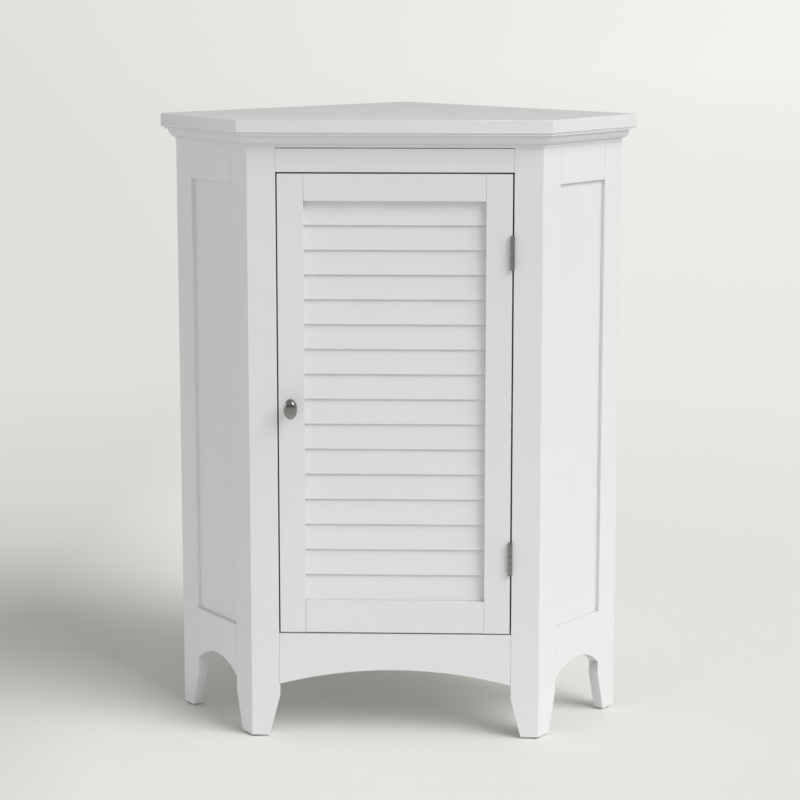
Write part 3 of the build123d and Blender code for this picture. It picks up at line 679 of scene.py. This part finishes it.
index = node_in(slat_tree, "GeometryNodeInputIndex").outputs["Index"]
share = slat_math("DIVIDE", slat_math("ADD", index, 1.0), slat["Count"])
even = slat_math("MULTIPLY", slat_math("SUBTRACT", 1.0, slat["Spread"]), share)
widening = slat_math("MULTIPLY", slat["Spread"], slat_math("MULTIPLY", share, share))
drop = slat_math("MULTIPLY", slat["Opening Height"], slat_math("ADD", even, widening))
lean_in = slat_math("SINE", slat["Tilt"])
lean_up = slat_math("COSINE", slat["Tilt"])
half_width = slat_math("MULTIPLY", slat["Slat Width"], 0.5)
half_thickness = slat_math("MULTIPLY", slat["Slat Thickness"], 0.5)
front_edge = slat_math("ADD", slat["Door Face"], slat["Front Recess"])
half_depth = slat_math(
    "ADD",
    slat_math("MULTIPLY", half_width, lean_in),
    slat_math("MULTIPLY", half_thickness, lean_up),
)
depth = slat_math("ADD", front_edge, half_depth)
rise = slat_math(
    "SUBTRACT",
    slat_math("MULTIPLY", half_width, lean_up),
    slat_math("MULTIPLY", half_thickness, lean_in),
)
level = slat_math("ADD", slat_math("SUBTRACT", slat["Opening Top"], drop), rise)
row = node_in(slat_tree, "GeometryNodeMeshLine")
feed(slat_tree, row, Count=slat["Count"])
middle_of_slat = feed(slat_tree, node_in(slat_tree, "ShaderNodeCombineXYZ"), Y=depth, Z=level)
stood = node_in(slat_tree, "GeometryNodeSetPosition")
feed(slat_tree, stood, Geometry=row.outputs["Mesh"], Position=middle_of_slat)
section = node_in(slat_tree, "GeometryNodeCurvePrimitiveQuadrilateral")
feed(slat_tree, section, Width=slat["Slat Thickness"], Height=slat["Slat Width"])
eased_section = node_in(slat_tree, "GeometryNodeFilletCurve", mode="POLY")
feed(slat_tree, eased_section, Curve=section.outputs["Curve"], Count=5, Radius=slat["Edge Round"])
run = node_in(slat_tree, "GeometryNodeCurvePrimitiveLine", mode="DIRECTION")
feed(slat_tree, run, Direction=(1, 0, 0), Length=slat["Slat Length"])
board = node_in(slat_tree, "GeometryNodeCurveToMesh")
feed(slat_tree, board, Curve=run.outputs[0], Profile_Curve=eased_section.outputs[0], Fill_Caps=True)
back_by_half = node_in(slat_tree, "ShaderNodeCombineXYZ")
feed(slat_tree, back_by_half, X=slat_math("MULTIPLY", slat["Slat Length"], -0.5))
centred = node_in(slat_tree, "GeometryNodeTransform")
feed(slat_tree, centred, Geometry=board.outputs["Mesh"], Translation=back_by_half.outputs[0])
tilted = node_in(slat_tree, "ShaderNodeCombineXYZ")
feed(slat_tree, tilted, X=slat_math("SUBTRACT", 0.0, slat["Tilt"]))
slats_placed = node_in(slat_tree, "GeometryNodeInstanceOnPoints")
feed(
    slat_tree,
    slats_placed,
    Points=stood.outputs[0],
    Instance=centred.outputs[0],
    Rotation=tilted.outputs[0],
)
slats_real = node_in(slat_tree, "GeometryNodeRealizeInstances")
feed(slat_tree, slats_real, Geometry=slats_placed.outputs[0])
painted = node_in(slat_tree, "GeometryNodeSetMaterial")
feed(slat_tree, painted, Geometry=slats_real.outputs[0], Material=level_paint)
slat_tree.links.new(painted.outputs[0], slats_out["Geometry"])
louver = grown(
    "louver_slats",
    slat_tree,
    slat_sizes,
    "door",
    [f"louver_slat_{number:02d}" for number in range(1, slat_sizes["Count"] + 1)],
)
widest_round_strip = 0.0006
for face in louver.data.polygons:
    face.use_smooth = len(face.vertices) == 4 and face.area < widest_round_strip

# Hinges. Two butt hinges of satin nickel-plated steel: a leaf screwed to the post, a leaf
# screwed to the stile, five knuckles and a pin with a flat head.
nickel = worn_metal("satin_nickel", (0.35, 0.342, 0.315), (0.25, 0.243, 0.225), 0.19, (700, 700, 60))


def crisp_ends(shape):
    """Keeps the ends of the knuckles from being shaded as if they were round."""
    for edge in shape.edges:
        if edge.is_manifold and edge.calc_face_angle() > radians(60):
            edge.smooth = False


for name, body in (("hinge_frame_leaves", "carcass"), ("hinge_door_leaves", "door")):
    eased(name, body, nickel, ease=0.00015, least_edge=0.0003, prepare=crisp_ends)
eased("hinge_pins", "carcass", nickel, ease=0.0003, least_edge=0.0002)

# The leaves' screws, and with them the two that hold the catch and the one in its plate
wood_screw = (2.6, 1.3, 1.3, 1.3, 13, 0.7, 2.8, 1.0)
leaf_screw_heights = (231.4, 255.4, 631.0, 655.0)
leaf_screw_depth = -202.804
post_leaf_screws = [((150.95, leaf_screw_depth, z), (-1, 0, 0)) for z in leaf_screw_heights]
door_leaf_screws = [((150.55, leaf_screw_depth, z), (1, 0, 0)) for z in leaf_screw_heights]
housing_screws = [((x, -182.604, 742.5), (0, 0, -1)) for x in (-111.75, -79.75)]
plate_screw = [((-95.75, -189.904, 736.5), (0, 1, 0))]
fasteners(
    "carcass_screws_finished",
    wood_screw,
    post_leaf_screws + housing_screws,
    "carcass",
    ["carcass_screws"],
)
fasteners("door_screws_finished", wood_screw, door_leaf_screws + plate_screw, "door", ["door_screws"])

# Knob. A casting plated like the hinges: an oval head, domed in front, on a round neck with a
# foot that bears on the stile. A screw from behind the door holds it.
knob_middle = Vector((-133.1, -210.104, 443.2))
knob_sides = 48
knob_reach = 24.0
rim_out, rim_across, rim_up = 18.0, 8.7, 13.5
dome_steps = 12
dome_fullness = 0.75
# Rings of the casting from the stile outwards: how far out, half the width, half the height
knob_rings = [
    (0.0, 6.5, 6.5), (1.0, 6.5, 6.5), (1.4, 6.3, 6.3), (1.6, 5.8, 5.8),
    (1.9, 5.1, 5.1), (2.5, 4.5, 4.5), (4.0, 4.2, 4.2), (8.0, 4.2, 4.2),
    (12.0, 4.2, 4.2), (13.8, 4.4, 4.6), (14.7, 5.1, 7.3), (15.05, 6.3, 10.2),
    (15.5, 7.4, 12.0), (16.2, 8.2, 12.9), (17.1, 8.6, 13.4), (rim_out, rim_across, rim_up),
]
for step in range(1, dome_steps):
    turn = pi / 2 * step / dome_steps
    inward = cos(turn) ** dome_fullness
    out = rim_out + (knob_reach - rim_out) * sin(turn)
    knob_rings.append((out, rim_across * inward, rim_up * inward))
knob_shape = bmesh.new()
rings = []
for out, half_across, half_up in knob_rings:
    ring = []
    for step in range(knob_sides):
        turn = 2 * pi * step / knob_sides
        point = knob_middle + Vector((half_across * cos(turn), -out, half_up * sin(turn)))
        ring.append(knob_shape.verts.new(point / 1000))
    rings.append(ring)
for lower, upper in zip(rings, rings[1:]):
    for step in range(knob_sides):
        following = (step + 1) % knob_sides
        around = (lower[step], lower[following], upper[following], upper[step])
        knob_shape.faces.new(around).smooth = True
tip = knob_shape.verts.new((knob_middle - Vector((0, knob_reach, 0))) / 1000)
for step in range(knob_sides):
    following = (step + 1) % knob_sides
    knob_shape.faces.new((rings[-1][step], rings[-1][following], tip)).smooth = True
knob_shape.faces.new(rings[0])
bmesh.ops.recalc_face_normals(knob_shape, faces=knob_shape.faces)
knob_mesh = bpy.data.meshes.new("door_knob_finished")
knob_shape.to_mesh(knob_mesh)
knob_shape.free()
knob_mesh.materials.append(nickel)
knob = bpy.data.objects.new("door_knob_finished", knob_mesh)
bpy.context.collection.objects.link(knob)
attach(knob, "door")
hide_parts("door_knob")
machine_screw = (4, 4, 2.4, 2, 33.4, 1.0, 4.4, 1.3)
knob_screw_place = [((knob_middle.x, -188.704, knob_middle.z), (0, 1, 0))]
fasteners("knob_screw_finished", machine_screw, knob_screw_place, "door", ["knob_screw"])

# Catch. A white plastic housing screwed under its block, with a ferrite magnet in it, and a
# steel plate on the back of the door that the magnet holds.
white_plastic = moulded_plastic("white_plastic", (0.72, 0.72, 0.69), (0.66, 0.66, 0.62))
ferrite = moulded_plastic("ferrite", (0.035, 0.035, 0.037), (0.06, 0.058, 0.056))
eased("catch_housing", "carcass", white_plastic, ease=0.0003, least_edge=0.001)
eased("catch_magnet", "carcass", ferrite, ease=0.0002, least_edge=0.001)
eased("strike_plate", "door", zinc, ease=0.0002, least_edge=0.001)

# Studio. A pale floor with painted shade on its left that fades into a pale backdrop glowing
# lighter to the right as painted light, a soft key lamp on the right, a second lamp that lights the
# floor alone, and a surround that is a little weaker from above.
floor_mesh = bpy.data.meshes.new("studio_floor")
reach = 50.0
floor_corners = [(-reach, -reach, 0), (reach, -reach, 0), (reach, reach, 0), (-reach, reach, 0)]
floor_mesh.from_pydata(floor_corners, [], [(0, 1, 2, 3)])
floor = bpy.data.objects.new("studio_floor", floor_mesh)
bpy.context.collection.objects.link(floor)


def backdrop(tree, way, farness):
    """Emission of the backdrop: a pale grey with painted light, lighter to the right and with
    distance.
    """
    across = node_in(tree, "ShaderNodeSeparateXYZ")
    tree.links.new(way, across.inputs["Vector"])
    # Painted light: the backdrop glows lighter towards the right and further away, as if lit from the
    # right
    rightness = ramp(tree, across.outputs["X"], -0.24, 0.14, 0.0, 1.0)
    lightness = math_node(tree, "MULTIPLY", rightness, farness)
    glow = node_in(tree, "ShaderNodeEmission")
    left_grey, right_grey = (0.735, 0.742, 0.7, 1), (0.885, 0.893, 0.848, 1)
    tree.links.new(blend_colours(tree, lightness, left_grey, right_grey), glow.inputs["Color"])
    return glow.outputs["Emission"]


floor_paint, floor_tree, floor_shader = new_material("pale_floor", roughness=0.95)
floor_shader.inputs["Specular IOR Level"].default_value = 0.1
seen_floor = node_in(floor_tree, "ShaderNodeBsdfDiffuse")
floor_place = node_in(floor_tree, "ShaderNodeTexCoord")
floor_axes = node_in(floor_tree, "ShaderNodeSeparateXYZ")
floor_tree.links.new(floor_place.outputs["Object"], floor_axes.inputs["Vector"])
# Painted shadow: the floor the camera sees is darker towards the left, where the cabinet's shadow
# spreads
lit_side = ramp(floor_tree, floor_axes.outputs["X"], -0.6, -0.38, 0.0, 1.0)
shaded_left_floor, main_floor = (0.615, 0.62, 0.586, 1), (0.72, 0.725, 0.686, 1)
floor_colour = blend_colours(floor_tree, lit_side, shaded_left_floor, main_floor)
floor_tree.links.new(floor_colour, seen_floor.inputs["Color"])
from_middle = node_in(floor_tree, "ShaderNodeVectorMath", operation="LENGTH")
floor_tree.links.new(floor_place.outputs["Object"], from_middle.inputs[0])
outward = node_in(floor_tree, "ShaderNodeVectorMath", operation="NORMALIZE")
floor_tree.links.new(floor_place.outputs["Object"], outward.inputs[0])
fading = node_in(floor_tree, "ShaderNodeMixShader")
far = ramp(floor_tree, from_middle.outputs["Value"], 0.95, 2.6, 0.0, 1.0)
floor_tree.links.new(far, fading.inputs["Fac"])
paler_near = ramp(floor_tree, from_middle.outputs["Value"], 0.5, 1.6, 0.0, 1.0)
bounce = blend_colours(floor_tree, paler_near, (0.7, 0.7, 0.7, 1), (0.54, 0.54, 0.54, 1))
floor_tree.links.new(bounce, floor_shader.inputs["Base Color"])
floor_tree.links.new(seen_floor.outputs["BSDF"], fading.inputs[1])
farness = ramp(floor_tree, from_middle.outputs["Value"], 2.0, 25.0, 0.5, 1.0)
floor_tree.links.new(backdrop(floor_tree, outward.outputs["Vector"], farness), fading.inputs[2])
to_camera = node_in(floor_tree, "ShaderNodeLightPath")
floor_choice = node_in(floor_tree, "ShaderNodeMixShader")
floor_tree.links.new(to_camera.outputs["Is Camera Ray"], floor_choice.inputs["Fac"])
floor_tree.links.new(floor_shader.outputs["BSDF"], floor_choice.inputs[1])
floor_tree.links.new(fading.outputs[0], floor_choice.inputs[2])
floor_tree.links.new(floor_choice.outputs[0], floor_tree.nodes["Material Output"].inputs["Surface"])
floor_mesh.materials.append(floor_paint)

world = bpy.data.worlds.new("studio_surround")
bpy.context.scene.world = world
world.use_nodes = True
surround = world.node_tree
direction = node_in(surround, "ShaderNodeTexCoord").outputs["Generated"]
room_axes = node_in(surround, "ShaderNodeSeparateXYZ")
surround.links.new(direction, room_axes.inputs["Vector"])
ambient = surround.nodes["Background"]
ambient.inputs["Color"].default_value = (1, 1, 1, 1)
from_above = ramp(surround, room_axes.outputs["Z"], 0.1, 1.0, 0.83, 0.27)
surround.links.new(from_above, ambient.inputs["Strength"])
ray = node_in(surround, "ShaderNodeLightPath")

# What shiny surfaces mirror: a dim room in front, paler walls around it, and two windows
sideways = math_node(surround, "ABSOLUTE", room_axes.outputs["X"], 0.0)
walls = ramp(surround, sideways, 0.45, 0.95, 0.0, 0.5)
ceiling = ramp(surround, room_axes.outputs["Z"], 0.06, 0.32, 0.08, 0.5)
rear = ramp(surround, room_axes.outputs["Y"], 0.1, 0.6, 0.0, 0.55)
room = math_node(surround, "MAXIMUM", math_node(surround, "MAXIMUM", walls, rear), ceiling)
windows = (((0.62, -0.59, 0.52), 4.2), ((-0.985, 0.05, 0.16), 2.2))
for way, brightness in windows:
    towards = node_in(surround, "ShaderNodeVectorMath", operation="DOT_PRODUCT")
    surround.links.new(direction, towards.inputs[0])
    towards.inputs[1].default_value = way
    window = ramp(surround, towards.outputs["Value"], 0.955, 0.978, 0.0, brightness)
    room = math_node(surround, "ADD", room, window)
mirrored = node_in(surround, "ShaderNodeBackground")
surround.links.new(room, mirrored.inputs["Strength"])
lit_or_mirrored = node_in(surround, "ShaderNodeMixShader")
surround.links.new(ray.outputs["Is Glossy Ray"], lit_or_mirrored.inputs["Fac"])
surround.links.new(ambient.outputs["Background"], lit_or_mirrored.inputs[1])
surround.links.new(mirrored.outputs["Background"], lit_or_mirrored.inputs[2])
seen = backdrop(surround, direction, 1.0)
clear_ray = math_node(
    surround, "MAXIMUM", ray.outputs["Is Camera Ray"], ray.outputs["Is Transmission Ray"]
)
world_choice = node_in(surround, "ShaderNodeMixShader")
surround.links.new(clear_ray, world_choice.inputs["Fac"])
surround.links.new(lit_or_mirrored.outputs[0], world_choice.inputs[1])
surround.links.new(seen, world_choice.inputs[2])
surround.links.new(world_choice.outputs[0], surround.nodes["World Output"].inputs["Surface"])


def distant_lamp(name, azimuth, elevation, spread, strength):
    """A far soft lamp; azimuth is measured from the front towards the right, in degrees."""
    data = bpy.data.lights.new(name, "SUN")
    data.angle = radians(spread)
    data.energy = strength
    lamp = bpy.data.objects.new(name, data)
    turn, rise = radians(azimuth), radians(elevation)
    way = Vector((sin(turn) * cos(rise), -cos(turn) * cos(rise), sin(rise)))
    lamp.rotation_euler = way.to_track_quat("Z", "Y").to_euler()
    bpy.context.collection.objects.link(lamp)
    return lamp


key_lamp = distant_lamp("key_lamp", azimuth=55, elevation=40, spread=38, strength=1.68)
key_lamp.visible_glossy = False
floor_lamp = distant_lamp("floor_lamp", azimuth=66, elevation=29, spread=56, strength=1.55)
lit_by_it = bpy.data.collections.new("floor_only")
lit_by_it.objects.link(floor)
floor_lamp.light_linking.receiver_collection = lit_by_it

view_camera = bpy.data.cameras.new("studio_camera")
view_camera.lens = 97.57
view_camera.sensor_width = 36.0
view_camera.shift_y = -0.08
camera = bpy.data.objects.new("studio_camera", view_camera)
camera.location = (0.0915, -2.95, 0.968)
camera.rotation_euler = (radians(90 - 8.955), 0, radians(1.772))
bpy.context.collection.objects.link(camera)
bpy.context.scene.camera = camera
bpy.context.scene.view_settings.view_transform = "Standard"
